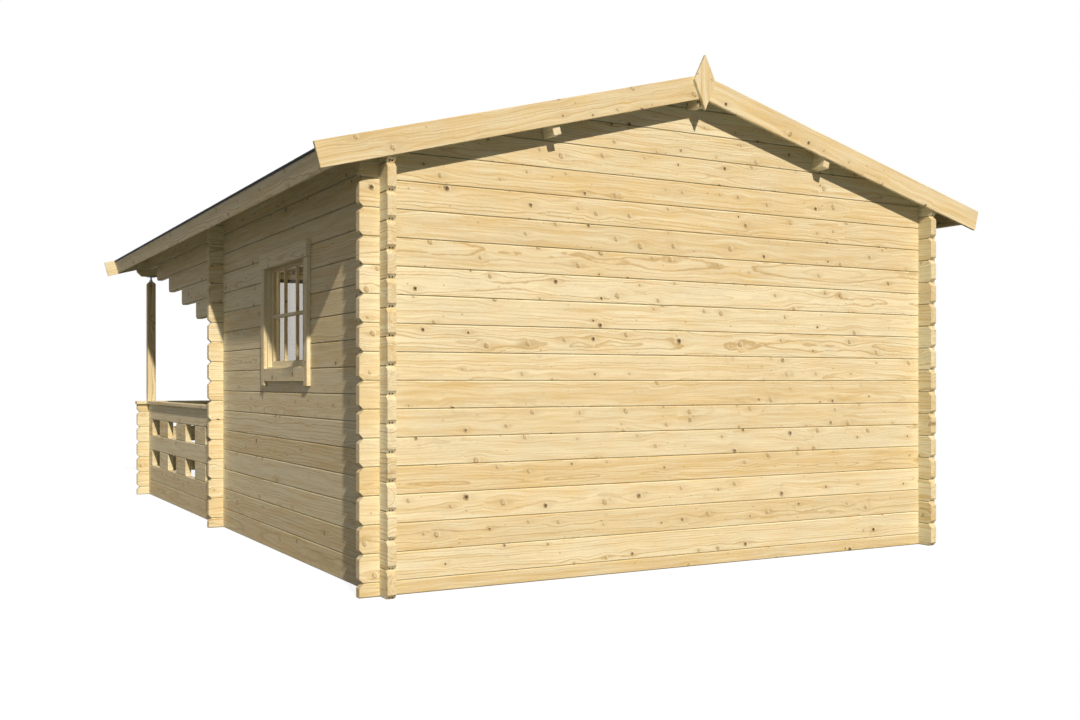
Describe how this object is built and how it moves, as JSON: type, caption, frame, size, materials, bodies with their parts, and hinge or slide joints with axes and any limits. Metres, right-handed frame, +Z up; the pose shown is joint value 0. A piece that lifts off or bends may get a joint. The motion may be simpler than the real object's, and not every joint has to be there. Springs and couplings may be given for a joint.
{
  "type": "log cabin",
  "caption": "Pine log cabin with cross-lapped log corners, a closed room with windows and a glazed door, and a roofed porch with lattice rails and posts.",
  "frame": {"origin": "on the ground under the middle of the roof", "axes": "+Z up, the porch faces -Y, +Y runs along the ridge to the back gable"},
  "size_m": [4.315, 5.976, 2.7594],
  "materials": {
    "log_pine": "planed, untreated",
    "trim_pine": "planed, untreated",
    "roof_pine": "planed, untreated",
    "floor_pine": "planed, untreated",
    "roofing_felt": "mineral felt",
    "window_glass": "clear float glass",
    "zinc_screw": "zinc plated",
    "handle_steel": "satin"
  },
  "bodies": {
    "root": {"back_wall": "log_pine", "bargeboards_back": "trim_pine", "bargeboards_front": "trim_pine", "door_casing": "trim_pine", "door_glass": "window_glass", "door_handle": "handle_steel", "door_leaf": "trim_pine", "door_lining": "trim_pine", "eave_fascia_left": "trim_pine", "eave_fascia_right": "trim_pine", "finials": "trim_pine", "floor_bearers": "floor_pine", "front_left_window_casing": "trim_pine", "front_left_window_lining": "trim_pine", "front_left_window_sash": "trim_pine", "front_right_window_casing": "trim_pine", "front_right_window_lining": "trim_pine", "front_right_window_sash": "trim_pine", "front_wall": "log_pine", "handrail_caps": "trim_pine", "left_purlin": "roof_pine", "left_wall": "log_pine", "left_window_casing": "trim_pine", "left_window_lining": "trim_pine", "left_window_sash": "trim_pine", "porch_floor": "floor_pine", "porch_front_blocks": "log_pine", "porch_front_rails": "log_pine", "porch_gable": "log_pine", "porch_posts": "trim_pine", "porch_side_blocks": "log_pine", "post_screws": "zinc_screw", "ridge_purlin": "roof_pine", "right_purlin": "roof_pine", "right_wall": "log_pine", "right_window_casing": "trim_pine", "right_window_lining": "trim_pine", "right_window_sash": "trim_pine", "roof_boards_left": "roof_pine", "roof_boards_right": "roof_pine", "roofing_felt_left": "roofing_felt", "roofing_felt_right": "roofing_felt", "room_floor": "floor_pine", "window_glass": "window_glass"}
  },
  "joints": []
}
